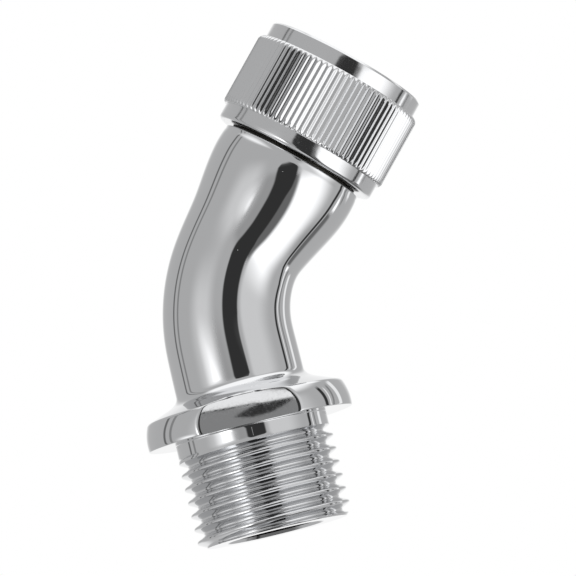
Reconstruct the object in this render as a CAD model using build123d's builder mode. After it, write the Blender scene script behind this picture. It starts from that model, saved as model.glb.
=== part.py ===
"""Angled adapter for a shower hose: a plated brass elbow with a male pipe thread at one end
and a knurled swivel nut at the other. Millimetres, +Z up along the male thread,
origin at the centre of the male end, the bend in the XZ plane with the nut towards +X."""
from build123d import *
import math
import os

# Male end: G 1/2 thread at its crest size, end chamfer and thread relief
thread_diameter = 20.955
thread_depth = 1.162
thread_length = 12.0
thread_end_chamfer = 0.8
relief_depth = 0.2
relief_length = 2.1

# Wrench flange: barrel-shaped rim with two flats, and a low dome up to the tube
rim_diameter = 27.7
rim_height = 3.4
rim_taper = 0.45
rim_bulge = 0.25
rim_corner_rise = 0.25
rim_corner_run = 0.18
flats_past_knurl = 0.05
dome_rise = 1.13
foot_fillet = 1.6

# Waterway through the whole body
waterway_diameter = 12.4
waterway_bend_radius = 17.0
mouth_chamfer = 0.4

# Tube: upright foot, one knee, a slight turn back into the nut's axis, and a swollen collar
foot_wall = 2.5
waist_wall = 2.15
collar_diameter = 20.2
collar_length = 2.4
collar_crown = 0.18
collar_edge_chamfer = 0.3
bend_angle = 42.6
axes_cross_height = 32.64
cross_to_shoulder = 20.23
knee_rise = 0.96
knee_radius = 19.0
turn_back_length = 3.2
turn_back_radius = 30.0
waist_share = 0.62
swell_start_share = 0.545
tube_stations = 11

# Spigot inside the nut, with the groove of the retaining ring
spigot_wall = 2.02
spigot_end_length = 0.85
groove_depth = 0.92
groove_clearance = 0.05

# Swivel nut: plain bottom band, knurled band, plain top band, and a female G 1/2 thread.
# Each wall is measured outwards from the root of the thread.
nut_gap = 0.45
bottom_band_wall = 0.9225
bottom_band_height = 2.1
bottom_edge_radius = 0.6
knurl_wall = 1.4725
knurl_height = 10.2
knurl_chamfer = 0.35
top_band_wall = 0.6725
top_band_height = 2.3
top_edge_chamfer = 0.25
rib_count = 90
flute_depth = 0.32
flute_share = 0.72
lip_thickness = 2.4
lip_clearance = 0.08
nut_mouth_chamfer = 1.05

# Split ring that holds the nut on, and the seal on the spigot's face
ring_thickness = 0.9
ring_width = 1.75
ring_play = 0.2
ring_split = 3.0
seal_thickness = 2.5
seal_clearance = 0.3
seal_headroom = 0.3
seal_edge_chamfer = 0.3

# Radii and heights that follow from the sizes above
thread_radius = thread_diameter / 2
female_crest_radius = thread_radius - thread_depth
relief_radius = thread_radius - relief_depth
waterway_radius = waterway_diameter / 2
tube_foot_radius = waterway_radius + foot_wall
tube_waist_radius = waterway_radius + waist_wall
collar_radius = collar_diameter / 2
collar_end_radius = collar_radius - collar_crown
rim_radius = rim_diameter / 2
rim_top_radius = rim_radius - rim_taper
dome_start_radius = rim_top_radius - rim_corner_run
dome_end_radius = tube_foot_radius + foot_fillet

seat_height = thread_length + relief_length
rim_top_height = seat_height + rim_height
dome_start_height = rim_top_height + rim_corner_rise
dome_end_height = dome_start_height + dome_rise
foot_height = dome_end_height + foot_fillet

spigot_radius = waterway_radius + spigot_wall
groove_radius = spigot_radius - groove_depth
ring_inner_radius = groove_radius + groove_clearance
ring_outer_radius = ring_inner_radius + ring_width
ring_base = lip_thickness + ring_play
groove_base = ring_base - groove_clearance
groove_height = ring_thickness + 2 * groove_clearance
spigot_reach = groove_base + groove_height + spigot_end_length
lip_radius = spigot_radius + lip_clearance
bottom_radius = thread_radius + bottom_band_wall
knurl_radius = thread_radius + knurl_wall
top_radius = thread_radius + top_band_wall
flat_distance = knurl_radius + flats_past_knurl
knurl_base = bottom_band_height
knurl_top = knurl_base + knurl_height
nut_height = knurl_top + top_band_height
nut_relief_top = spigot_reach + seal_thickness + seal_headroom
seal_outer_radius = female_crest_radius - seal_clearance

# Frame of the nut: its axis leaves the male axis at the bend and runs through the nut's lower face
lean = math.radians(bend_angle)
nut_direction = Vector(math.sin(lean), 0, math.cos(lean))
axes_cross = Vector(0, 0, axes_cross_height)
shoulder = axes_cross + nut_direction * cross_to_shoulder
nut_base = shoulder + nut_direction * nut_gap
nut_axis = Axis(nut_base, nut_direction)
# its x is the distance from the nut's axis and its y the height above the nut's lower face
nut_section = Plane(origin=nut_base, x_dir=(0, 1, 0), z_dir=Vector(0, 1, 0).cross(nut_direction))


def across_nut(height):
    """Plane square to the nut's axis, this far above the nut's lower face."""
    return Plane(origin=nut_base + nut_direction * height, x_dir=(0, 1, 0), z_dir=nut_direction)


def ease(share):
    """Smooth step from 0 to 1."""
    share = min(max(share, 0), 1)
    return share * share * (3 - 2 * share)


def tube_radius(share):
    """Outer radius of the tube at a share of its length from the foot: waisted, swollen, crowned."""
    swell_end_share = 1 - (collar_length - collar_edge_chamfer) / tube_path.length
    swell = (share - swell_start_share) / (swell_end_share - swell_start_share)
    waist = (tube_waist_radius - tube_foot_radius) * ease(share / waist_share)
    crown = collar_crown * (max(share - swell_end_share, 0) / (1 - swell_end_share)) ** 2
    return tube_foot_radius + waist + (collar_radius - tube_waist_radius) * ease(swell) - crown


# Centreline of the tube's outside, and of the waterway inside it
with BuildLine() as tube_line:
    FilletPolyline(
        (0, 0, foot_height),
        (0, 0, axes_cross_height + knee_rise),
        shoulder - nut_direction * turn_back_length,
        shoulder - nut_direction * collar_edge_chamfer,
        radius=(knee_radius, turn_back_radius),
    )
tube_path = tube_line.wire()
with BuildLine() as water_line:
    spigot_end = nut_base + nut_direction * spigot_reach
    FilletPolyline((0, 0, 0), axes_cross, spigot_end, radius=waterway_bend_radius)
water_path = water_line.wire()

with BuildPart() as bent_tube:
    # round at every station of its centreline
    for station in range(tube_stations):
        share = station / (tube_stations - 1)
        with BuildSketch(Plane(tube_path @ share, z_dir=tube_path % share)):
            Circle(tube_radius(share))
    loft()

with BuildPart() as elbow_body:
    # threaded end, relief, flange and dome, turned about the male axis
    with BuildSketch(Plane.XZ):
        with BuildLine():
            Polyline(
                (0, 0),
                (thread_radius - thread_end_chamfer, 0),
                (thread_radius, thread_end_chamfer),
                (thread_radius, thread_length),
                (relief_radius, thread_length),
                (relief_radius, seat_height),
                (rim_radius, seat_height),
            )
            ThreePointArc(
                (rim_radius, seat_height),
                ((rim_radius + rim_top_radius) / 2 + rim_bulge, seat_height + rim_height / 2),
                (rim_top_radius, rim_top_height),
            )
            Polyline(
                (rim_top_radius, rim_top_height),
                (dome_start_radius, dome_start_height),
                (dome_end_radius, dome_end_height),
            )
            TangentArc(
                (dome_end_radius, dome_end_height),
                (tube_foot_radius, foot_height),
                tangent=(dome_end_radius - dome_start_radius, dome_rise),
            )
            Polyline((tube_foot_radius, foot_height), (0, foot_height), (0, 0))
        make_face()
    revolve(axis=Axis.Z)
    # wrench flats
    for side in (Plane.XZ, -Plane.XZ):
        split(bisect_by=side.offset(flat_distance), keep=Keep.BOTTOM)
    add(bent_tube.part)
    # chamfered edge of the collar and the grooved spigot, turned about the nut's axis
    with BuildSketch(nut_section):
        with BuildLine():
            groove_top = groove_base + groove_height
            Polyline(
                (0, -nut_gap - collar_edge_chamfer),
                (collar_end_radius, -nut_gap - collar_edge_chamfer),
                (collar_end_radius - collar_edge_chamfer, -nut_gap),
                (spigot_radius, -nut_gap),
                (spigot_radius, groove_base),
                (groove_radius, groove_base),
                (groove_radius, groove_top),
                (spigot_radius, groove_top),
                (spigot_radius, spigot_reach),
                (0, spigot_reach),
                (0, -nut_gap - collar_edge_chamfer),
            )
        make_face()
    revolve(axis=nut_axis)
    # waterway from end to end, its edges broken at both mouths
    with BuildSketch(Plane(water_path @ 0, z_dir=water_path % 0)):
        Circle(waterway_radius)
    sweep(path=water_path, mode=Mode.SUBTRACT)
    mouths = elbow_body.edges().filter_by(GeomType.CIRCLE).filter_by(
        lambda edge: abs(edge.radius - waterway_radius) < edge.radius / 1000
        and min((edge.arc_center - end).length for end in (Vector(), spigot_end)) < edge.radius / 1000
    )
    chamfer(mouths, mouth_chamfer)
elbow_body.part.label = "elbow_body"

with BuildPart() as swivel_nut:
    # banded outside and stepped inside, turned about the nut's axis
    with BuildSketch(nut_section):
        with BuildLine():
            Polyline((lip_radius, 0), (bottom_radius - bottom_edge_radius, 0))
            RadiusArc(
                (bottom_radius - bottom_edge_radius, 0),
                (bottom_radius, bottom_edge_radius),
                -bottom_edge_radius,
            )
            Polyline(
                (bottom_radius, bottom_edge_radius),
                (bottom_radius, knurl_base),
                (knurl_radius - knurl_chamfer, knurl_base),
                (knurl_radius, knurl_base + knurl_chamfer),
                (knurl_radius, knurl_top - knurl_chamfer),
                (knurl_radius - knurl_chamfer, knurl_top),
                (top_radius, knurl_top),
                (top_radius, nut_height - top_edge_chamfer),
                (top_radius - top_edge_chamfer, nut_height),
                (female_crest_radius + nut_mouth_chamfer, nut_height),
                (female_crest_radius, nut_height - nut_mouth_chamfer),
                (female_crest_radius, nut_relief_top),
                (thread_radius, nut_relief_top),
                (thread_radius, lip_thickness),
                (lip_radius, lip_thickness),
                (lip_radius, 0),
            )
        make_face()
    revolve(axis=nut_axis)
    # flutes of the knurled band
    flute_root = knurl_radius - flute_depth
    flute_half_width = math.pi * knurl_radius / rib_count * flute_share
    with BuildSketch(across_nut(knurl_base)):
        with PolarLocations(flute_root, rib_count):
            Polygon(
                (0, 0),
                (2 * flute_depth, -2 * flute_half_width),
                (2 * flute_depth, 2 * flute_half_width),
                align=None,
            )
    extrude(amount=knurl_height, mode=Mode.SUBTRACT)
swivel_nut.part.label = "swivel_nut"

with BuildPart() as retaining_ring:
    # split spring ring that sits in the spigot's groove above the nut's lip
    with BuildSketch(across_nut(ring_base)):
        Circle(ring_outer_radius)
        Circle(ring_inner_radius, mode=Mode.SUBTRACT)
        with Locations((ring_outer_radius, 0)):
            Rectangle(2 * ring_outer_radius, ring_split, mode=Mode.SUBTRACT)
    extrude(amount=ring_thickness)
retaining_ring.part.label = "retaining_ring"

with BuildPart() as seal_washer:
    # flat rubber washer on the end of the spigot
    with BuildSketch(across_nut(spigot_reach)):
        Circle(seal_outer_radius)
        Circle(waterway_radius + seal_edge_chamfer, mode=Mode.SUBTRACT)
    extrude(amount=seal_thickness)
    chamfer(seal_washer.edges().filter_by(GeomType.CIRCLE).group_by(nut_axis)[-1], seal_edge_chamfer)
seal_washer.part.label = "seal_washer"

os.makedirs("parts", exist_ok=True)
for piece in (elbow_body, swivel_nut, retaining_ring, seal_washer):
    export_step(piece.part, f"parts/{piece.part.label}.step")
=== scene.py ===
import logging
import math
from dataclasses import dataclass, field
from enum import Enum
from typing import Sequence, Union

import bmesh
import bpy
import numpy as np
from mathutils import Matrix, Vector


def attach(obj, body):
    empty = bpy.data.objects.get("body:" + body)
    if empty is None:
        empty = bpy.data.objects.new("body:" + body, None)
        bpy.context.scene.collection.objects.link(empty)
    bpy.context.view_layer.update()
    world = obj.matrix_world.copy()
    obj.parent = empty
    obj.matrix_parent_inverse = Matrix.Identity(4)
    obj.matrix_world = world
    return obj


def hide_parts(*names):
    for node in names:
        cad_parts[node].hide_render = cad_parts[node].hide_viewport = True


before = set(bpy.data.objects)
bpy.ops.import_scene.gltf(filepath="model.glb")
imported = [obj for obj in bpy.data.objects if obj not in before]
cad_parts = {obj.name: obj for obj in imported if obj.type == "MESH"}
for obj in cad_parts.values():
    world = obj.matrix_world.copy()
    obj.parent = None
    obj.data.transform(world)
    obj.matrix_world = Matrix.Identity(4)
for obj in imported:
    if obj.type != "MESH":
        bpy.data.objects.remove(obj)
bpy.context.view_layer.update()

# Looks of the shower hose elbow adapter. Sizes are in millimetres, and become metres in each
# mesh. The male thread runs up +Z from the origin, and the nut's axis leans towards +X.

LOG = logging.getLogger("elbow")
MM = 0.001
CREASE_ANGLE = 38
Number = Union[float, "Field"]


# Small mathematics of profiles

def ease(share: float) -> float:
    """Smooth step from 0 to 1."""
    share = min(max(share, 0.0), 1.0)
    return share * share * (3 - 2 * share)


def round_min(first: np.ndarray, second: np.ndarray, reach: float) -> np.ndarray:
    """Lower of two heights, with the corner between them rounded off.

    Args:
        first: heights of one surface.
        second: heights of the other.
        reach: difference of heights at which the rounding begins.

    Returns:
        The rounded lower heights.
    """
    near = np.maximum(reach - np.abs(first - second), 0) / reach
    return np.minimum(first, second) - near * near * reach / 4


def rounded(points: Sequence[tuple], steps: int = 3) -> np.ndarray:
    """Profile whose corners are rounded.

    Args:
        points: (radius, height, corner radius) in order along the profile.
        steps: spans of each rounded corner.

    Returns:
        The rounded profile's (radius, height) rows.
    """
    rows = [points[0][:2]]
    for before, here, after in zip(points, points[1:], points[2:]):
        corner = Vector(here[:2])
        back, on = Vector(before[:2]) - corner, Vector(after[:2]) - corner
        if here[2] <= 0 or back.length < 1e-6 or on.length < 1e-6:
            rows.append(tuple(corner))
            continue
        half = back.angle(on) / 2
        trim = min(here[2] / math.tan(half), 0.45 * back.length, 0.45 * on.length)
        start, stop = corner + back.normalized() * trim, corner + on.normalized() * trim
        for step in range(steps + 1):
            share = step / steps
            one = start.lerp(corner, share)
            other = corner.lerp(stop, share)
            rows.append(tuple(one.lerp(other, share)))
    rows.append(points[-1][:2])
    return np.array(rows, dtype=float)


def spread(rows: np.ndarray, longest: float) -> np.ndarray:
    """Profile with its long spans cut up, so that no span is longer than this."""
    out = [rows[0]]
    for start, stop in zip(rows, rows[1:]):
        cuts = max(1, math.ceil(float(np.linalg.norm(stop - start)) / longest))
        out += [start + (stop - start) * cut / cuts for cut in range(1, cuts + 1)]
    return np.array(out)


def blended(values: np.ndarray, reach: int) -> np.ndarray:
    """Evenly spaced values, each averaged with its neighbours, with both ends kept.

    Args:
        values: one row or number for each place.
        reach: neighbours on each side that take part.

    Returns:
        The smoother values.
    """
    before, after = 2 * values[0] - values[reach:0:-1], 2 * values[-1] - values[-2:-reach - 2:-1]
    padded = np.concatenate([before, values, after])
    weights = np.hanning(2 * reach + 3)[1:-1]
    total = sum(weight * padded[at:at + len(values)] for at, weight in enumerate(weights))
    return total / weights.sum()


# Skins made of rings

@dataclass
class Skin:
    """A mesh under construction, made of rings and of ready meshes that share their borders."""

    columns: int
    points: list = field(default_factory=list)
    faces: list = field(default_factory=list)

    def rings(self, rings: Sequence[np.ndarray]) -> None:
        """Joins rings of equal length, each to the next, into bands of four-sided faces."""
        first = len(self.points)
        for ring in rings:
            self.points += [tuple(point) for point in ring]
        for row in range(len(rings) - 1):
            low, high = first + row * self.columns, first + (row + 1) * self.columns
            for here in range(self.columns):
                on = (here + 1) % self.columns
                self.faces.append((low + here, low + on, high + on, high + here))

    def take(self, mesh: bpy.types.Mesh) -> None:
        """Adds a ready mesh, whose border meets the rings, and removes it from the file."""
        first = len(self.points)
        self.points += [tuple(vertex.co / MM) for vertex in mesh.vertices]
        self.faces += [tuple(first + index for index in face.vertices) for face in mesh.polygons]
        bpy.data.meshes.remove(mesh)

    def border(self, height: float) -> np.ndarray:
        """Ring of the points at this height, one to a column."""
        ring = {}
        for x, y, z in self.points:
            if abs(z - height) < 1e-4:
                ring[round(math.atan2(y, x) / (2 * math.pi) * self.columns) % self.columns] = (x, y, z)
        return np.array([ring[column] for column in range(self.columns)])

    def finish(self, name: str, crease: float) -> bpy.types.Object:
        """Merges the borders and makes one smooth object.

        Args:
            name: the object's name.
            crease: angle in degrees past which an edge stays crisp.

        Returns:
            The finished object, at the origin.
        """
        mesh = bpy.data.meshes.new(name)
        mesh.from_pydata([tuple(MM * c for c in point) for point in self.points], [], self.faces)
        work = bmesh.new()
        work.from_mesh(mesh)
        bmesh.ops.remove_doubles(work, verts=work.verts, dist=2e-7)
        bmesh.ops.dissolve_degenerate(work, edges=work.edges, dist=1e-8)
        bmesh.ops.recalc_face_normals(work, faces=work.faces)
        work.to_mesh(mesh)
        open_edges = sum(len(edge.link_faces) != 2 for edge in work.edges)
        work.free()
        mesh.shade_smooth()
        mesh.set_sharp_from_angle(angle=math.radians(crease))
        piece = bpy.data.objects.new(name, mesh)
        bpy.context.scene.collection.objects.link(piece)
        LOG.info("%s: %d faces, %d open edges", name, len(mesh.polygons), open_edges)
        return piece


# Geometry Nodes

class Field:
    """A number that differs from point to point, worked out by the nodes of a tree."""

    def __init__(self, tree: "Tree", socket: bpy.types.NodeSocket) -> None:
        """Keeps the tree and the socket that carries the number."""
        self.tree, self.socket = tree, socket

    def __add__(self, other: Number) -> "Field":
        """Sum."""
        return self.tree.math("ADD", self, other)

    def __radd__(self, other: Number) -> "Field":
        """Sum, with a plain number in front."""
        return self.tree.math("ADD", other, self)

    def __sub__(self, other: Number) -> "Field":
        """Difference."""
        return self.tree.math("SUBTRACT", self, other)

    def __rsub__(self, other: Number) -> "Field":
        """Difference from a plain number."""
        return self.tree.math("SUBTRACT", other, self)

    def __mul__(self, other: Number) -> "Field":
        """Product."""
        return self.tree.math("MULTIPLY", self, other)

    def __rmul__(self, other: Number) -> "Field":
        """Product, with a plain number in front."""
        return self.tree.math("MULTIPLY", other, self)

    def __truediv__(self, other: Number) -> "Field":
        """Quotient."""
        return self.tree.math("DIVIDE", self, other)


class Tree:
    """A Geometry Nodes tree that makes one mesh from named sizes."""

    def __init__(self, name: str) -> None:
        """Starts an empty tree with a mesh as its result."""
        self.group = bpy.data.node_groups.new(name, "GeometryNodeTree")
        self.group.interface.new_socket("Mesh", in_out="OUTPUT", socket_type="NodeSocketGeometry")
        self.sizes = self.group.nodes.new("NodeGroupInput")
        self.result = self.group.nodes.new("NodeGroupOutput")
        self.values: dict = {}

    def size(self, name: str, value: float) -> Field:
        """Adds a named input of the tree, and the value that it is given."""
        kind = "NodeSocketInt" if isinstance(value, int) else "NodeSocketFloat"
        socket = self.group.interface.new_socket(name, in_out="INPUT", socket_type=kind)
        self.values[socket.identifier] = value
        return Field(self, self.sizes.outputs[name])

    def node(self, kind: str, inputs: dict, **settings: object) -> bpy.types.Node:
        """Adds a node.

        Args:
            kind: Blender's name of the node's type.
            inputs: what each input is linked to or set to, by the input's name or number.
            settings: the node's own settings.

        Returns:
            The new node.
        """
        node = self.group.nodes.new(kind)
        for key, value in settings.items():
            setattr(node, key, value)
        for key, value in inputs.items():
            if isinstance(value, Field):
                self.group.links.new(value.socket, node.inputs[key])
            elif isinstance(value, bpy.types.NodeSocket):
                self.group.links.new(value, node.inputs[key])
            else:
                node.inputs[key].default_value = value
        return node

    def math(self, operation: str, *values: Number) -> Field:
        """Works out one operation on fields and plain numbers."""
        node = self.node("ShaderNodeMath", dict(enumerate(values)), operation=operation)
        return Field(self, node.outputs[0])

    def lowest(self, *values: Number) -> Field:
        """Lowest of several numbers."""
        low = values[0]
        for value in values[1:]:
            low = self.math("MINIMUM", low, value)
        return low

    def vector(self, x: Number, y: Number, z: Number) -> bpy.types.NodeSocket:
        """Point with these coordinates."""
        return self.node("ShaderNodeCombineXYZ", {0: x, 1: y, 2: z}).outputs[0]

    def bake(self, shape: bpy.types.NodeSocket, material: bpy.types.Material) -> bpy.types.Mesh:
        """Ends the tree in real, coloured geometry and evaluates it.

        Args:
            shape: the tree's last geometry.
            material: what the geometry is made of.

        Returns:
            A plain mesh of the result.
        """
        real = self.node("GeometryNodeRealizeInstances", {0: shape}).outputs[0]
        done = self.node("GeometryNodeSetMaterial", {"Geometry": real, "Material": material})
        self.group.links.new(done.outputs[0], self.result.inputs[0])
        holder = bpy.data.objects.new(self.group.name, bpy.data.meshes.new(self.group.name))
        bpy.context.scene.collection.objects.link(holder)
        modifier = holder.modifiers.new("shape", "NODES")
        modifier.node_group = self.group
        for identifier, value in self.values.items():
            modifier[identifier] = value
        graph = bpy.context.evaluated_depsgraph_get()
        mesh = bpy.data.meshes.new_from_object(holder.evaluated_get(graph), depsgraph=graph)
        empty = holder.data
        holder.modifiers.remove(modifier)
        bpy.data.objects.remove(holder)
        bpy.data.meshes.remove(empty)
        return mesh


# Finishes

class Metal(Enum):
    """Colours that the metals of the piece reflect, and a dark one that paints the shade in the gap between
    nut and body.
    """

    CHROME = (0.68, 0.685, 0.695)
    # painted shade: the dark colour of the faces in the gap between nut and body
    PAINTED_GAP_SHADE = (0.10, 0.095, 0.085)
    SPRING_STEEL = (0.55, 0.55, 0.56)


def shader(name: str) -> tuple:
    """New node material.

    Args:
        name: the material's name.

    Returns:
        The material, its node tree and its surface shader.
    """
    material = bpy.data.materials.new(name)
    material.use_nodes = True
    tree = material.node_tree
    return material, tree, tree.nodes["Principled BSDF"]


@dataclass(frozen=True)
class PlatedFinish:
    """Polished plate over brass: bright, with the faint unevenness that polishing leaves."""

    name: str
    metal: Metal
    roughness: tuple
    wave_size: float
    wave_height: float
    grain_height: float
    grain_size: float = 0.35

    def material(self) -> bpy.types.Material:
        """Builds the finish.

        Returns:
            The material, on object coordinates.
        """
        material, tree, surface = shader(self.name)
        surface.inputs["Metallic"].default_value = 1.0
        surface.inputs["Base Color"].default_value = (*self.metal.value, 1)
        place = tree.nodes.new("ShaderNodeTexCoord").outputs["Object"]
        wave = tree.nodes.new("ShaderNodeTexNoise")
        wave.inputs["Scale"].default_value = 1 / (self.wave_size * MM)
        wave.inputs["Detail"].default_value = 2
        grain = tree.nodes.new("ShaderNodeTexNoise")
        grain.inputs["Scale"].default_value = 1 / (self.grain_size * MM)
        grain.inputs["Detail"].default_value = 4
        for texture in (wave, grain):
            tree.links.new(place, texture.inputs["Vector"])
        spread_of = tree.nodes.new("ShaderNodeMapRange")
        spread_of.inputs["From Min"].default_value = 0.3
        spread_of.inputs["From Max"].default_value = 0.7
        spread_of.inputs["To Min"].default_value = self.roughness[0]
        spread_of.inputs["To Max"].default_value = self.roughness[1]
        tree.links.new(grain.outputs["Fac"], spread_of.inputs["Value"])
        tree.links.new(spread_of.outputs["Result"], surface.inputs["Roughness"])
        bump = None
        for texture, height in ((wave, self.wave_height), (grain, self.grain_height)):
            step = tree.nodes.new("ShaderNodeBump")
            step.inputs["Strength"].default_value = 1.0
            step.inputs["Distance"].default_value = height * MM
            tree.links.new(texture.outputs["Fac"], step.inputs["Height"])
            if bump:
                tree.links.new(bump.outputs["Normal"], step.inputs["Normal"])
            bump = step
        tree.links.new(bump.outputs["Normal"], surface.inputs["Normal"])
        return material


@dataclass(frozen=True)
class RubberFinish:
    """Matt black rubber with a faint moulding grain."""

    name: str
    colour: tuple = (0.022, 0.022, 0.023)

    def material(self) -> bpy.types.Material:
        """Builds the finish."""
        material, tree, surface = shader(self.name)
        surface.inputs["Specular IOR Level"].default_value = 0.35
        place = tree.nodes.new("ShaderNodeTexCoord").outputs["Object"]
        grain = tree.nodes.new("ShaderNodeTexNoise")
        grain.inputs["Scale"].default_value = 1 / (0.5 * MM)
        grain.inputs["Detail"].default_value = 5
        tree.links.new(place, grain.inputs["Vector"])
        tone = tree.nodes.new("ShaderNodeMapRange")
        tone.inputs["To Min"].default_value = 0.55
        tone.inputs["To Max"].default_value = 0.75
        tree.links.new(grain.outputs["Fac"], tone.inputs["Value"])
        tree.links.new(tone.outputs["Result"], surface.inputs["Roughness"])
        shade = tree.nodes.new("ShaderNodeValToRGB")
        shade.color_ramp.elements[0].color = (*(0.8 * c for c in self.colour), 1)
        shade.color_ramp.elements[1].color = (*(1.3 * c for c in self.colour), 1)
        tree.links.new(grain.outputs["Fac"], shade.inputs["Fac"])
        tree.links.new(shade.outputs["Color"], surface.inputs["Base Color"])
        bump = tree.nodes.new("ShaderNodeBump")
        bump.inputs["Distance"].default_value = 0.01 * MM
        tree.links.new(grain.outputs["Fac"], bump.inputs["Height"])
        tree.links.new(bump.outputs["Normal"], surface.inputs["Normal"])
        return material


def paint_gap_shade(piece: bpy.types.Object, finish: PlatedFinish, base: np.ndarray, direction: np.ndarray,
         span: tuple, reach: tuple) -> None:
    """Paints shade on the turned faces in the gap between the nut and the body, as a dark finish.

    Args:
        piece: the object whose faces are looked at.
        finish: the dark finish that paints the gap's shade.
        base: point on the nut's axis.
        direction: the nut's axis.
        span: lowest and highest distance of such a face along the axis.
        reach: smallest and largest distance of such a face from the axis.
    """
    piece.data.materials.append(finish.material())
    # faces inside the gap get the dark finish: painted shade
    for face in piece.data.polygons:
        arm = np.array(face.center) / MM - base
        along = float(arm @ direction)
        away = float(np.linalg.norm(arm - along * direction))
        if span[0] < along < span[1] and reach[0] < away < reach[1]:
            face.material_index = 1


# The pipe thread that both ends share

@dataclass
class PipeThread:
    """G 1/2 thread, as a sleeve between two flat borders."""

    pitch: float = 1.814
    crest_radius: float = 10.4775
    depth: float = 1.162
    flank_slope: float = 1.921
    rounding: float = 0.22
    rows_per_turn: int = 18

    def sleeve(self, name: str, columns: int, start: float, stop: float, first_crest: float,
               low_limit: tuple, high_limit: tuple, run_out: tuple, inside: bool,
               material: bpy.types.Material) -> bpy.types.Mesh:
        """Makes the threaded surface, with rows that follow its helix.

        Args:
            name: the tree's name.
            columns: points round the sleeve.
            start: height of its lower border.
            stop: height of its upper border.
            first_crest: height of a crest at angle 0.
            low_limit: radius at height 0 and its slope, which cuts the thread at its lower end.
            high_limit: the same for its upper end.
            run_out: radius at height 0 and its slope, where the root rises out of the thread.
            inside: whether the thread is a nut's, and the limits cut into its bore.
            material: the thread's finish.

        Returns:
            The sleeve's mesh, about the Z axis.
        """
        tree = Tree(name)
        side = -1.0 if inside else 1.0
        pitch = tree.size("Pitch", self.pitch)
        crest = tree.size("Crest radius", self.crest_radius)
        depth = tree.size("Depth", self.depth)
        slope = tree.size("Flank slope", self.flank_slope)
        rounding = tree.size("Rounding", self.rounding)
        bottom, top = tree.size("Start", start), tree.size("Stop", stop)
        phase = tree.size("First crest", first_crest)
        limits = [tree.size(f"{word} limit {part}", side * value)
                  for word, limit in (("Low", low_limit), ("High", high_limit), ("Run-out", run_out))
                  for part, value in zip(("radius", "slope"), limit)]
        turns = math.ceil((stop - start) / self.pitch) + 2
        rows = turns * self.rows_per_turn + 1
        grid = tree.node("GeometryNodeMeshGrid", {"Size X": 1.0, "Size Y": 1.0,
                         "Vertices X": columns + 1, "Vertices Y": rows}).outputs["Mesh"]
        index = Field(tree, tree.node("GeometryNodeInputIndex", {}).outputs[0])
        column = tree.math("FLOOR", (index + 0.5) / rows)
        row = index - column * rows
        share = column / columns
        climb = bottom - pitch + pitch * (share + row / self.rows_per_turn)
        height = tree.math("MAXIMUM", tree.lowest(climb, top), bottom)
        # distance from the nearest crest, then radius over crest, flank and root
        turn = (height - phase) / pitch - share
        away = tree.math("ABSOLUTE", tree.math("FRACT", turn + 0.5) - 0.5) * pitch
        flank = (crest - depth * 0.5) + (pitch * 0.25 - away) * slope
        root = tree.math("SMOOTH_MAX", crest - depth, flank, rounding)
        radius = tree.math("SMOOTH_MIN", crest, root, rounding) * side
        rise = limits[4] + limits[5] * height
        cut = tree.lowest(tree.math("MAXIMUM", radius, rise),
                          limits[0] + limits[1] * height, limits[2] + limits[3] * height) * side
        angle = share * (2 * math.pi)
        cut = cut * MM
        at = tree.vector(tree.math("COSINE", angle) * cut, tree.math("SINE", angle) * cut, height * MM)
        placed = tree.node("GeometryNodeSetPosition", {"Geometry": grid, "Position": at}).outputs[0]
        merged = tree.node("GeometryNodeMergeByDistance", {"Geometry": placed, "Distance": 1e-7})
        return tree.bake(merged.outputs[0], material)


# The elbow

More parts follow.
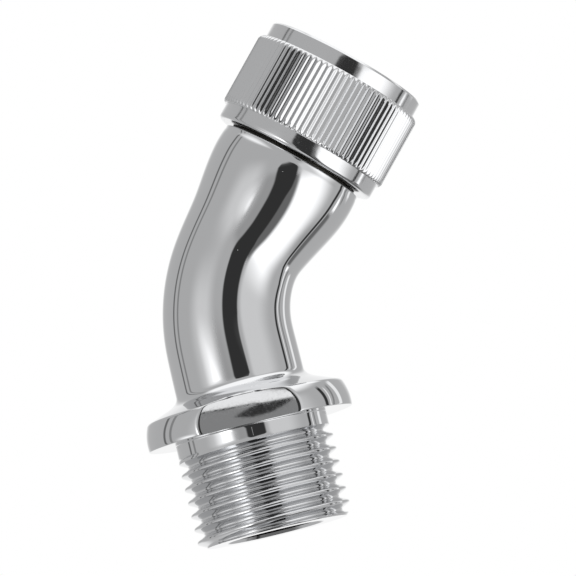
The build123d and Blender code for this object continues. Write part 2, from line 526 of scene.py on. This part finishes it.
@dataclass
class ElbowBody:
    """Cast and plated body: threaded end, wrench flange, bent tube and the spigot in the nut."""

    thread: PipeThread
    finish: PlatedFinish
    gap_shade_finish: PlatedFinish
    columns: int = 240
    mouth_radius: float = 6.6
    mouth_chamfer: float = 0.4
    bore_radius: float = 6.2
    bore_bend_radius: float = 17.0
    end_radius: float = 9.69
    thread_stop: float = 12.3
    first_crest: float = 0.013
    neck_radius: float = 10.2775
    seat_height: float = 14.1
    rim_radius: float = 13.85
    rim_height: float = 3.4
    rim_taper: float = 0.45
    rim_bulge: float = 0.225
    flat_distance: float = 12.0
    flat_rounding: float = 0.16
    dome_start: tuple = (13.22, 17.75)
    dome_end: tuple = (10.3, 18.88)
    foot_height: float = 20.48
    foot_radius: float = 8.7
    waist_radius: float = 8.35
    collar_radius: float = 10.1
    collar_length: float = 2.4
    collar_edge: float = 0.42
    collar_crown: float = 0.18
    bend_angle: float = 42.6
    cross_height: float = 32.64
    shoulder_reach: float = 20.23
    knee_rise: float = 0.96
    knee_radius: float = 19.0
    turn_back_length: float = 3.2
    turn_back_radius: float = 30.0
    waist_share: float = 0.62
    swell_share: float = 0.545
    spigot_radius: float = 8.22
    spigot_reach: float = 4.85
    groove: tuple = (3.0, 4.0, 7.3)
    flat_corner_radius: float = 12.42
    corner_spread: float = 2.6
    nut_gap: float = 0.45

    def __post_init__(self) -> None:
        """Works out the nut's direction and the shoulder's place."""
        lean = math.radians(self.bend_angle)
        self.direction = np.array([math.sin(lean), 0, math.cos(lean)])
        self.shoulder = np.array([0, 0, self.cross_height]) + self.direction * self.shoulder_reach
        self.angles = np.arange(self.columns) * 2 * math.pi / self.columns

    def ring(self, radius: float, height: float) -> np.ndarray:
        """Round ring about the male thread's axis."""
        return np.stack([radius * np.cos(self.angles), radius * np.sin(self.angles),
                         np.full(self.columns, height)], axis=1)

    def flange_ring(self, radius: float, height: float, gather: float) -> np.ndarray:
        """Ring of the flange, cut by its two flats.

        Args:
            radius: the ring's radius where it is round.
            height: its height.
            gather: from 0, even columns, to 1, columns gathered at the flats' corners.

        Returns:
            The ring's points.
        """
        corner = max(radius, self.flat_corner_radius)
        reach = math.degrees(math.asin(min(self.flat_distance / corner, 1.0)))
        even = np.degrees(self.angles)
        quarter = np.where(even % 180 > 90, 180 - even % 180, even % 180)
        bent = np.interp(quarter, [0, 54, 72, 90],
                         [0, reach - self.corner_spread, reach + self.corner_spread, 90])
        bent = quarter + (bent - quarter) * gather
        angle = np.where(even % 180 > 90, 180 - bent, bent) + np.floor(even / 180) * 180
        angle = np.radians(angle)
        across = np.maximum(np.abs(np.sin(angle)), 1e-6)
        out = round_min(np.full(self.columns, radius), self.flat_distance / across, self.flat_rounding)
        return np.stack([out * np.cos(angle), out * np.sin(angle), np.full(self.columns, height)], axis=1)

    def flange(self) -> list:
        """Rings from the neck over the barrel-shaped rim and the dome to the tube's foot."""
        top_height = self.seat_height + self.rim_height
        top_radius = self.rim_radius - self.rim_taper
        middle = ((self.rim_radius + top_radius) / 2 + self.rim_bulge, (self.seat_height + top_height) / 2)
        rim = []
        for step in range(13):
            share = step / 12
            low, high = 1 - share, share
            # a curve through the rim's foot, its middle and its top
            radius = (self.rim_radius * low * (low - high) + 4 * middle[0] * low * high
                      + top_radius * high * (high - low))
            rim.append((radius, self.seat_height + self.rim_height * share))
        outline = [(self.neck_radius, self.thread_stop, 0), (self.neck_radius, self.seat_height, 0.12),
                   (self.rim_radius - 0.02, self.seat_height, 0.16)]
        outline += [(radius, height, 0) for radius, height in rim[1:-1]]
        outline += [(*rim[-1], 0.4), (*self.dome_start, 0.7), (*self.dome_end, 0)]
        rows = spread(rounded(outline, 4), 0.3)
        rings = []
        for radius, height in rows:
            if height < self.seat_height - 0.2:
                gather = 0.0
            elif radius < self.neck_radius + 3 and height < self.seat_height + 0.1:
                gather = ease((radius - self.neck_radius) / 3)
            elif height > self.dome_start[1]:
                gather = ease((radius - 10.6) / 1.6)
            else:
                gather = 1.0
            rings.append(self.flange_ring(radius, height, gather))
        # hollow of the foot, from the dome's slope into the upright tube
        start, stop = np.array(self.dome_end), np.array([self.foot_radius, self.foot_height])
        slope = start - np.array(self.dome_start)
        corner = start + slope * (self.foot_radius - start[0]) / slope[0]
        for step in range(1, 13):
            share = step / 12
            point = start * (1 - share) ** 2 + corner * 2 * share * (1 - share) + stop * share ** 2
            rings.append(self.ring(*point))
        return rings

    def path(self, corners: Sequence[np.ndarray], radii: Sequence[float], longest: float) -> tuple:
        """Centreline through corners that are rounded to arcs.

        Args:
            corners: points in the bend's plane.
            radii: one radius for each inner corner.
            longest: longest step along the line.

        Returns:
            Its points and its directions.
        """
        points, ways = [], []

        def straight(start: np.ndarray, stop: np.ndarray) -> None:
            """Adds a straight run."""
            length = float(np.linalg.norm(stop - start))
            if length < 1e-6:
                return
            for step in range(max(1, math.ceil(length / longest))):
                points.append(start + (stop - start) * step / max(1, math.ceil(length / longest)))
                ways.append((stop - start) / length)

        here = corners[0]
        for before, corner, after, radius in zip(corners, corners[1:], corners[2:], radii):
            way_in = (corner - before) / np.linalg.norm(corner - before)
            way_out = (after - corner) / np.linalg.norm(after - corner)
            turn = math.atan2(way_in[2] * way_out[0] - way_in[0] * way_out[2], float(way_in @ way_out))
            trim = radius * math.tan(abs(turn) / 2)
            straight(here, corner - way_in * trim)
            side = np.array([way_in[2], 0, -way_in[0]]) * math.copysign(1, turn)
            centre = corner - way_in * trim + side * radius
            steps = max(3, math.ceil(abs(turn) * radius / longest))
            for step in range(steps):
                part = turn * step / steps
                way = way_in * math.cos(part) + np.array([way_in[2], 0, -way_in[0]]) * math.sin(part)
                inward = np.array([way[2], 0, -way[0]]) * math.copysign(1, turn)
                points.append(centre - inward * radius)
                ways.append(way)
            here = corner + way_out * trim
        straight(here, corners[-1])
        points.append(corners[-1])
        ways.append((corners[-1] - here) / np.linalg.norm(corners[-1] - here))
        return np.array(points), np.array(ways)

    def hoop(self, centre: np.ndarray, way: np.ndarray, radius: float) -> np.ndarray:
        """Round ring square to a direction in the bend's plane."""
        across = np.array([way[2], 0, -way[0]])
        return (centre + radius * np.outer(np.cos(self.angles), across)
                + radius * np.outer(np.sin(self.angles), np.array([0.0, 1.0, 0.0])))

    def tube(self) -> list:
        """Rings of the bent tube, waisted and then swollen into the collar."""
        points, _ = self.path(
            [np.array([0, 0, self.foot_height]), np.array([0, 0, self.cross_height + self.knee_rise]),
             self.shoulder - self.direction * self.turn_back_length, self.shoulder],
            [self.knee_radius, self.turn_back_radius], 0.42)
        run = np.concatenate([[0], np.cumsum(np.linalg.norm(np.diff(points, axis=0), axis=1))])
        swell_end = 1 - self.collar_length / run[-1]
        radii = np.array([
            self.foot_radius + (self.waist_radius - self.foot_radius) * ease(share / self.waist_share)
            + (self.collar_radius - self.waist_radius)
            * ease((share - self.swell_share) / (swell_end - self.swell_share))
            - self.collar_crown * (max(share - swell_end, 0) / (1 - swell_end)) ** 2
            for share in run / run[-1]])
        points, radii = blended(points, 5), blended(radii, 5)
        ways = np.gradient(points, axis=0)
        ways /= np.linalg.norm(ways, axis=1)[:, None]
        return [self.hoop(point, way, radius) for point, way, radius, at
                in zip(points[1:], ways[1:], radii[1:], run[1:]) if run[-1] - at > self.collar_edge + 0.05]

    def spigot(self) -> list:
        """Rings from the collar's edge along the spigot and its groove to the mouth."""
        low, high, deep = self.groove
        edge = self.collar_radius - self.collar_crown
        profile = rounded([
            (edge, -self.collar_edge - 0.04, 0), (edge, 0, self.collar_edge), (self.spigot_radius, 0, 0.08),
            (self.spigot_radius, low, 0.06), (deep, low, 0.06), (deep, high, 0.06),
            (self.spigot_radius, high, 0.06), (self.spigot_radius, self.spigot_reach, 0.1),
            (self.mouth_radius, self.spigot_reach, 0),
            (self.bore_radius, self.spigot_reach - self.mouth_chamfer, 0)], 4)
        return [self.hoop(self.shoulder + self.direction * height, self.direction, radius)
                for radius, height in spread(profile, 1.2)]

    def waterway(self) -> list:
        """Rings of the bore, from the spigot's mouth back to the male end."""
        end = self.shoulder + self.direction * (self.spigot_reach - self.mouth_chamfer)
        points, ways = self.path([np.array([0.0, 0, self.mouth_chamfer]),
                                  np.array([0, 0, self.cross_height]), end], [self.bore_bend_radius], 1.0)
        rings = [self.hoop(point, way, self.bore_radius) for point, way in zip(points, ways)][::-1]
        return rings + [self.ring(self.mouth_radius, 0)]

    def build(self) -> bpy.types.Object:
        """Builds the body over its CAD node."""
        material = self.finish.material()
        skin = Skin(self.columns)
        skin.take(self.thread.sleeve(
            "male_thread", self.columns, 0.0, self.thread_stop, self.first_crest,
            (self.end_radius, 1.0), (self.neck_radius + 0.2 * self.thread_stop, -0.2),
            (self.neck_radius - 2.0 * self.thread_stop, 2.0), False, material))
        skin.rings(self.flange() + self.tube() + self.spigot() + self.waterway() + [skin.border(0.0)])
        piece = skin.finish("elbow_body_plated", CREASE_ANGLE)
        piece.data.materials.clear()
        piece.data.materials.append(material)
        # spigot and shoulder faces in the gap get the dark finish: painted shade under the nut
        paint_gap_shade(piece, self.gap_shade_finish, self.shoulder, self.direction, (-0.01, self.spigot_reach + 0.01),
             (self.mouth_radius, self.collar_radius - self.collar_crown - 0.25))
        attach(piece, "elbow")
        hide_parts("elbow_body")
        return piece


# The swivel nut

@dataclass
class SwivelNut:
    """Turned nut: plain bottom band, knurled band, plain top band and a female thread."""

    thread: PipeThread
    finish: PlatedFinish
    gap_shade_finish: PlatedFinish
    base: np.ndarray
    direction: np.ndarray
    columns: int = 200
    lip_radius: float = 8.3
    lip_thickness: float = 2.4
    bottom_radius: float = 11.4
    bottom_edge: float = 0.6
    knurl_base: float = 2.1
    knurl_top: float = 12.3
    knurl_radius: float = 11.95
    knurl_chamfer: float = 0.35
    rib_count: int = 90
    flute_depth: float = 0.35
    flute_share: float = 0.95
    top_radius: float = 11.15
    top_edge: float = 0.27
    height: float = 14.6
    relief_top: float = 7.2
    mouth_chamfer: float = 1.05
    crest_rounding: float = 0.4
    root_share: float = 0.88
    root_rounding: float = 0.45
    end_rounding: float = 0.06

    def place(self) -> Matrix:
        """Puts the nut's own frame, with its axis up, at the nut's base."""
        up = Vector(self.direction)
        across = Vector((self.direction[2], 0, -self.direction[0]))
        turn = Matrix((across, up.cross(across), up)).transposed().to_4x4()
        return Matrix.Translation(Vector(self.base) * MM) @ turn

    def knurl(self, material: bpy.types.Material) -> bpy.types.Mesh:
        """Makes one rib with half a flute on each side, and repeats it round the nut.

        Args:
            material: the nut's finish.

        Returns:
            The knurled band's mesh, with a hidden inner wall.
        """
        tree = Tree("knurled_band")
        crest = tree.size("Rib radius", self.knurl_radius)
        depth = tree.size("Flute depth", self.flute_depth)
        share = tree.size("Flute share", self.flute_share)
        bevel = tree.size("End chamfer", self.knurl_chamfer)
        bottom, top = tree.size("Start", self.knurl_base), tree.size("Stop", self.knurl_top)
        hidden = tree.size("Hidden radius", self.top_radius - 0.4)
        count = tree.size("Ribs", self.rib_count)
        across, along = 11, 22
        grid = tree.node("GeometryNodeMeshGrid", {"Size X": 1.0, "Size Y": 1.0,
                         "Vertices X": across, "Vertices Y": along + 4}).outputs["Mesh"]
        index = Field(tree, tree.node("GeometryNodeInputIndex", {}).outputs[0])
        column = tree.math("FLOOR", (index + 0.5) / (along + 4))
        row = index - column * (along + 4)
        side = column / (across - 1) * 2 - 1
        # rows 1 to along run up the ribs, closely at both ends, and the rest close the hidden wall
        level = tree.lowest(tree.math("MAXIMUM", row - 2, 0.0), float(along - 1))
        middle = level / (along - 1) * 2 - 1
        packed = tree.math("SINE", middle * (math.pi / 2))
        height = bottom + (top - bottom) * (packed * 0.5 + 0.5)
        land = 1 - share
        slope = (tree.math("ABSOLUTE", side) - land) / share
        slope = tree.math("SMOOTH_MAX", slope, 0.0, self.crest_rounding)
        flute = tree.math("SMOOTH_MIN", slope, self.root_share, self.root_rounding) * depth
        end = tree.lowest(height - bottom, top - height)
        body = tree.math("SMOOTH_MIN", crest - flute, crest - bevel + end, self.end_rounding)
        outer = tree.math("GREATER_THAN", row, 1.5) * tree.math("LESS_THAN", row, along + 1.5)
        radius = hidden + (body - hidden) * outer
        shown = tree.math("MINIMUM", tree.math("FLOOR", row / (along + 3)), 1.0)
        height = height + (bottom - height) * shown
        angle = side / count * math.pi
        at = tree.vector(tree.math("COSINE", angle) * radius * MM,
                         tree.math("SINE", angle) * radius * MM, height * MM)
        rib = tree.node("GeometryNodeSetPosition", {"Geometry": grid, "Position": at}).outputs[0]
        line = tree.node("GeometryNodeMeshLine", {"Count": count, "Offset": (0.0, 0.0, 0.0)}).outputs[0]
        step = Field(tree, tree.node("GeometryNodeInputIndex", {}).outputs[0])
        turn = tree.vector(0.0, 0.0, step / count * (2 * math.pi))
        ribs = tree.node("GeometryNodeInstanceOnPoints", {"Points": line, "Instance": rib,
                         "Rotation": turn}).outputs[0]
        real = tree.node("GeometryNodeRealizeInstances", {0: ribs}).outputs[0]
        merged = tree.node("GeometryNodeMergeByDistance", {"Geometry": real, "Distance": 1e-6})
        return tree.bake(merged.outputs[0], material)

    def build(self) -> bpy.types.Object:
        """Builds the nut over its CAD node."""
        material = self.finish.material()
        skin = Skin(self.columns)
        root, crest = self.thread.crest_radius, self.thread.crest_radius - self.thread.depth
        stop = self.height - self.mouth_chamfer * 0.4
        skin.take(self.thread.sleeve(
            "female_thread", self.columns, self.relief_top, stop, 0.4,
            (root + self.relief_top, -1.0), (crest + self.mouth_chamfer - self.height, 1.0),
            (root + 5, 0.0), True, material))
        core = self.top_radius - 0.15
        outline = rounded([
            (crest + self.mouth_chamfer * 0.6, stop, 0), (crest + self.mouth_chamfer, self.height, 0.06),
            (self.top_radius - self.top_edge, self.height, 0.1),
            (self.top_radius, self.height - self.top_edge, 0.1), (self.top_radius, self.knurl_top - 0.08, 0),
            (core, self.knurl_top - 0.08, 0), (core, self.knurl_base + 0.08, 0),
            (self.bottom_radius, self.knurl_base + 0.08, 0), (self.bottom_radius, 0, self.bottom_edge),
            (self.lip_radius, 0, 0.1), (self.lip_radius, self.lip_thickness, 0.05),
            (root, self.lip_thickness, 0.1), (root, self.relief_top, 0)], 5)
        angles = np.arange(self.columns) * 2 * math.pi / self.columns
        skin.rings([skin.border(stop)]
                   + [np.stack([radius * np.cos(angles), radius * np.sin(angles),
                                np.full(self.columns, height)], axis=1)
                      for radius, height in spread(outline, 1.0)[1:]])
        skin.take(self.knurl(material))
        piece = skin.finish("swivel_nut_plated", CREASE_ANGLE)
        piece.data.transform(self.place())
        piece.data.materials.clear()
        piece.data.materials.append(material)
        # the nut's lip and the bore under it get the dark finish: painted shade in the gap
        paint_gap_shade(piece, self.gap_shade_finish, self.base, self.direction, (-0.01, self.lip_thickness),
             (self.lip_radius - 0.01, self.bottom_radius - 1.9))
        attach(piece, "nut")
        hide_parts("swivel_nut")
        return piece


# Hidden pieces, whose CAD shape stays

@dataclass
class HiddenPieces:
    """The split ring and the seal inside the nut."""

    steel: PlatedFinish
    rubber: RubberFinish

    def dress(self) -> None:
        """Gives both CAD nodes their finish."""
        for node, finish in (("retaining_ring", self.steel), ("seal_washer", self.rubber)):
            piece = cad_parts[node]
            material = finish.material()
            for place in piece.material_slots:
                place.material = material
            LOG.info("%s: CAD shape kept, finish %s", node, finish.name)


# Studio

class Tone(Enum):
    """Brightness of the cards round the object."""

    BLACK = 0.042
    DARK = 0.18
    DIM = 0.30
    SHADE = 0.42
    GREY = 0.56
    LIGHT = 0.82
    PALE = 1.14
    BRIGHT = 1.36
    WHITE = 1.55
    GLARE = 2.8


@dataclass(frozen=True)
class Card:
    """Softly edged card on a dome round the object, seen only in its reflections.

    Angles are in degrees to the right of the camera and above it, as the object sees them.
    """

    name: str
    tone: Tone
    rows: tuple
    soft: tuple

    def build(self, distance: float, centre: Vector, axes: Matrix, cells: int = 40) -> None:
        """Builds the card from its rows, each of which is a height, a left end and a right end.

        Args:
            distance: how far it stands from the object.
            centre: the dome's centre.
            axes: the camera's right, upward and backward directions, as columns.
            cells: faces along each side.
        """
        steps = np.linspace(0, 1, cells + 1)
        u, v = (grid.ravel() for grid in np.meshgrid(steps, steps, indexing="ij"))
        heights, lefts, rights = np.array(self.rows, dtype=float).T
        above = heights[0] + (heights[-1] - heights[0]) * v
        left, right = np.interp(above, heights, lefts), np.interp(above, heights, rights)
        aside, lift = np.radians(left + (right - left) * u), np.radians(above)
        ways = np.stack([np.sin(aside) * np.cos(lift), np.sin(lift), np.cos(aside) * np.cos(lift)])
        points = (np.array(axes) @ ways).T * distance + np.array(centre)

        def at(i: int, j: int) -> int:
            """Number of the grid's point in this column and row."""
            return i * (cells + 1) + j

        faces = [(at(i, j), at(i + 1, j), at(i + 1, j + 1), at(i, j + 1))
                 for i in range(cells) for j in range(cells)]
        mesh = bpy.data.meshes.new(self.name)
        mesh.from_pydata([tuple(point * MM) for point in points], [], faces)
        cover = np.ones(len(u))
        borders = (u * (right - left), (1 - u) * (right - left), above - heights[0], heights[-1] - above)
        for inside, soft in zip(borders, self.soft):
            share = np.clip(inside / soft, 0, 1)
            cover *= share * share * (3 - 2 * share)
        mesh.attributes.new("cover", "FLOAT", "POINT").data.foreach_set("value", cover)
        mesh.materials.append(self.material())
        card = bpy.data.objects.new(self.name, mesh)
        card.visible_camera = card.visible_diffuse = card.visible_shadow = False
        bpy.context.scene.collection.objects.link(card)

    def material(self) -> bpy.types.Material:
        """Even glow that thins out to nothing at the card's soft border."""
        material = bpy.data.materials.new(self.name)
        material.use_nodes = True
        tree = material.node_tree
        tree.nodes.clear()
        glow = tree.nodes.new("ShaderNodeEmission")
        glow.inputs["Strength"].default_value = self.tone.value
        clear = tree.nodes.new("ShaderNodeBsdfTransparent")
        cover = tree.nodes.new("ShaderNodeAttribute")
        cover.attribute_name = "cover"
        mix = tree.nodes.new("ShaderNodeMixShader")
        tree.links.new(cover.outputs["Fac"], mix.inputs[0])
        tree.links.new(clear.outputs[0], mix.inputs[1])
        tree.links.new(glow.outputs[0], mix.inputs[2])
        out = tree.nodes.new("ShaderNodeOutputMaterial")
        tree.links.new(mix.outputs[0], out.inputs["Surface"])
        return material


@dataclass(frozen=True)
class FlatChart:
    """Chart of what the near wrench flat reflects, which is a very small part of the dome.

    Its heights count from the pattern's middle, and each further layer sits a little higher.
    """

    middle: float = 8.585
    aside: float = -0.032
    height_scale: float = 0.53
    width_scale: float = 0.537
    layer_rise: float = 0.0105

    def rows(self, layer: int, *chart: tuple) -> tuple:
        """Lays rows of the chart on the dome.

        Args:
            layer: how many of the pattern's cards lie behind this one.
            chart: rows of a height, a left end and a right end.

        Returns:
            The same rows in the dome's degrees.
        """
        foot = self.middle + self.layer_rise * layer
        return tuple((foot + self.height_scale * height, self.aside + self.width_scale * left,
                      self.aside + self.width_scale * right) for height, left, right in chart)


@dataclass
class Camera:
    """Long lens, where the photograph was taken from."""

    azimuth: float = -1.249
    elevation: float = -4.784
    roll: float = -13.659
    distance: float = 929.82
    lens: float = 437.25
    aim: tuple = (5.0, 0.0, 28.0)
    shift: tuple = (3.322, 4.109)

    def build(self) -> bpy.types.Object:
        """Sets up the camera and returns it."""
        az, el, roll = (math.radians(a) for a in (self.azimuth, self.elevation, self.roll))
        back = Vector((math.sin(az) * math.cos(el), -math.cos(az) * math.cos(el), math.sin(el)))
        right = Vector((math.cos(az), math.sin(az), 0))
        up = right.cross(-back)
        across = right * math.cos(roll) + up * math.sin(roll)
        over = up * math.cos(roll) - right * math.sin(roll)
        place = Vector(self.aim) + back * self.distance + across * self.shift[0] + over * self.shift[1]
        data = bpy.data.cameras.new("camera")
        data.lens, data.sensor_width, data.clip_start = self.lens, 36.0, 0.01
        camera = bpy.data.objects.new("camera", data)
        camera.matrix_world = Matrix.Translation(place * MM) @ Matrix(
            (across, over, back)).transposed().to_4x4()
        bpy.context.scene.collection.objects.link(camera)
        bpy.context.scene.camera = camera
        return camera


@dataclass
class Studio:
    """Pale floor, white backdrop, a soft lamp, and the cards that shape the chrome."""

    floor_height: float = -62.0
    floor_reach: float = 4000.0
    distance: float = 4000.0
    layer_step: float = 19.0
    centre: tuple = (5.0, 0.0, 30.0)
    cards: tuple = (
        Card("tent", Tone.GREY, ((-90, -170, 170), (90, -170, 170)), (14, 14, 0.1, 0.1)),
        Card("ceiling", Tone.BRIGHT, ((40, -180, 180), (104, -180, 180)), (0.1, 0.1, 12, 14)),
        Card("under", Tone.GREY, ((-100, -180, 180), (-26, -180, 180)), (0.1, 0.1, 0.1, 14)),
        Card("dim_below", Tone.DARK, ((-112, -60, 180), (-38, -60, 180)), (30, 0.1, 16, 16)),
        Card("left_floor", Tone.LIGHT, ((-80, -80, -8), (-42, -60, -10)), (20, 10, 12, 10)),
        Card("left_low", Tone.BRIGHT, ((-38, -96, -58), (-12, -96, -58)), (24, 8, 8, 10)),
        Card("right_fill", Tone.LIGHT, ((-6, 20, 92), (44, 22, 84)), (8, 34, 10, 14)),
        Card("right_softbox", Tone.WHITE, ((-62, 12, 88), (-20, 18, 88), (9, 24, 84)), (6, 34, 14, 16)),
        Card("left_fill", Tone.LIGHT, ((-30, -78, -24), (28, -74, -18)), (26, 20, 18, 18)),
        Card("left_softbox", Tone.BRIGHT, ((-28, -62, -28), (10, -60, -22)), (16, 12, 14, 14)),
        Card("left_glare", Tone.GLARE, ((-22, -50, -28), (3, -48, -25)), (12, 6, 6, 8)),
        Card("left_shade", Tone.SHADE, ((-26, -30, 4), (14, -26, 2)), (10, 6, 10, 10)),
        Card("gap_border", Tone.DARK, ((-80, 0, 34), (-42, -2, 26), (-20, 0, 27), (-5, 11, 28), (5, 15, 27)),
             (2, 8, 20, 5)),
        Card("camera_gap", Tone.BLACK, ((-80, -22, 8), (-42, -22, 5), (-17, -17, 13), (-10, -12, 18),
             (0, -10, 21), (8, -10, 22), (14, -9, 21), (18.5, -4, 15)), (3, 3, 20, 3)),
        Card("left_seam", Tone.DARK, ((-35, -113, -107), (45, -113, -107)), (2, 2, 5, 5)),
        Card("left_fold", Tone.DIM, ((-35, -102, -96), (45, -102, -96)), (2, 2, 5, 5)),
        Card("right_seam", Tone.BLACK, ((-60, 88, 96), (-25, 92, 99), (-7, 99, 106), (6, 96, 103),
             (40, 97, 105)), (2, 2, 5, 5)),
        Card("right_slit", Tone.PALE, ((-32, 102, 108), (-7, 107, 112), (6, 104, 108), (35, 108, 112)),
             (2, 2, 5, 5)),
        Card("right_shade", Tone.DARK, ((-46, 98, 116), (-31, 99, 113)), (2, 8, 4, 3)),
        Card("right_glare", Tone.WHITE, ((-31, 103, 112), (-20, 104, 110)), (2, 2, 3, 3)),
        Card("right_fold", Tone.DIM, ((-26, 112, 118), (6, 109, 114), (35, 116, 122)), (2, 2, 5, 5)),
        Card("right_edge", Tone.PALE, ((-20, 121, 129), (35, 124, 134)), (2, 2, 5, 5)),
        Card("lens_panel", Tone.DIM, FlatChart().rows(0, (-0.52, -1.43, 0.92), (0.52, -1.43, 0.92)),
             (0.02, 0.02, 0.03, 0.03)),
        Card("lens_glint", Tone.PALE, FlatChart().rows(1, (-0.02, -1.43, -1.31), (0.2, -1.43, 0.05),
             (0.32, -1.43, 0.81), (0.5, -1.43, 0.91)), (0.02, 0.025, 0.01, 0.03)),
        Card("lens_edge", Tone.BLACK, FlatChart().rows(2, (-0.04, -1.47, -1.2), (0.2, -0.15, 0.1)),
             (0.03, 0.03, 0.005, 0.005)),
        Card("lens_shade", Tone.BLACK, FlatChart().rows(3, (-0.12, -0.6, -0.2), (0, -0.4, 0.22),
             (0.16, -0.12, 0.5), (0.3, 0.6, 0.7)), (0.03, 0.03, 0.01, 0.01)),
    )

    def floor(self) -> None:
        """Plain pale floor, which takes the shadow."""
        mesh = bpy.data.meshes.new("floor")
        half, z = self.floor_reach * MM, self.floor_height * MM
        mesh.from_pydata([(-half, -half, z), (half, -half, z), (half, half, z), (-half, half, z)], [],
                         [(0, 1, 2, 3)])
        floor = bpy.data.objects.new("floor", mesh)
        material, _, surface = shader("floor")
        surface.inputs["Base Color"].default_value = (0.86, 0.86, 0.86, 1)
        surface.inputs["Roughness"].default_value = 0.9
        mesh.materials.append(material)
        floor.visible_glossy = False
        bpy.context.scene.collection.objects.link(floor)

    def world(self) -> None:
        """White behind the object, and an even grey light on it."""
        world = bpy.data.worlds.new("studio")
        bpy.context.scene.world = world
        world.use_nodes = True
        tree = world.node_tree
        tree.nodes.clear()
        paths = tree.nodes.new("ShaderNodeLightPath").outputs
        seen = tree.nodes.new("ShaderNodeMath")
        seen.operation = "MAXIMUM"
        tree.links.new(paths["Is Camera Ray"], seen.inputs[0])
        glossy = tree.nodes.new("ShaderNodeMath")
        glossy.operation = "MAXIMUM"
        tree.links.new(paths["Is Glossy Ray"], glossy.inputs[0])
        tree.links.new(paths["Is Transmission Ray"], glossy.inputs[1])
        tree.links.new(glossy.outputs[0], seen.inputs[1])
        tone = tree.nodes.new("ShaderNodeMapRange")
        tone.inputs["To Min"].default_value = 0.75
        tone.inputs["To Max"].default_value = 1.0
        tree.links.new(seen.outputs[0], tone.inputs["Value"])
        light = tree.nodes.new("ShaderNodeBackground")
        light.inputs["Color"].default_value = (1, 1, 1, 1)
        tree.links.new(tone.outputs["Result"], light.inputs["Strength"])
        out = tree.nodes.new("ShaderNodeOutputWorld")
        tree.links.new(light.outputs[0], out.inputs["Surface"])

    def lamp(self) -> None:
        """Large soft lamp overhead, which gives the shadow on the floor."""
        data = bpy.data.lights.new("overhead", "AREA")
        data.shape, data.size, data.energy = "DISK", 0.9, 9.0
        lamp = bpy.data.objects.new("overhead", data)
        lamp.matrix_world = Matrix.Translation((0.15, -0.25, 1.1)) @ Matrix.Rotation(0.22, 4, "X")
        lamp.visible_glossy = lamp.visible_camera = False
        bpy.context.scene.collection.objects.link(lamp)

    def build(self, camera: bpy.types.Object) -> None:
        """Builds the studio round the object.

        Args:
            camera: the camera that the cards are placed about.
        """
        self.floor()
        self.world()
        self.lamp()
        for layer, card in enumerate(self.cards):
            card.build(self.distance - self.layer_step * layer, Vector(self.centre),
                       camera.matrix_world.to_3x3())
        bpy.context.scene.view_settings.view_transform = "Standard"


def main() -> None:
    """Builds the pieces in order, then the studio."""
    logging.basicConfig(level=logging.INFO, format="%(name)s: %(message)s")
    thread = PipeThread()
    chrome = PlatedFinish("chrome_plate", Metal.CHROME, (0.006, 0.014), 4.0, 0.00005, 0.000004)
    nut_chrome = PlatedFinish("nut_chrome_plate", Metal.CHROME, (0.07, 0.12), 3.0, 0.0004, 0.00008)
    steel = PlatedFinish("spring_steel", Metal.SPRING_STEEL, (0.25, 0.4), 2.0, 0.001, 0.001)
    # dark finish that paints shade on the faces in the gap between nut and body
    brass = PlatedFinish("painted_gap_shade", Metal.PAINTED_GAP_SHADE, (0.4, 0.55), 2.0, 0.001, 0.001)
    elbow = ElbowBody(thread, chrome, brass)
    elbow.build()
    base = elbow.shoulder + elbow.direction * elbow.nut_gap
    SwivelNut(thread, nut_chrome, brass, base, elbow.direction).build()
    HiddenPieces(steel, RubberFinish("seal_rubber")).dress()
    Studio().build(Camera().build())


if __name__ == "__main__":
    main()
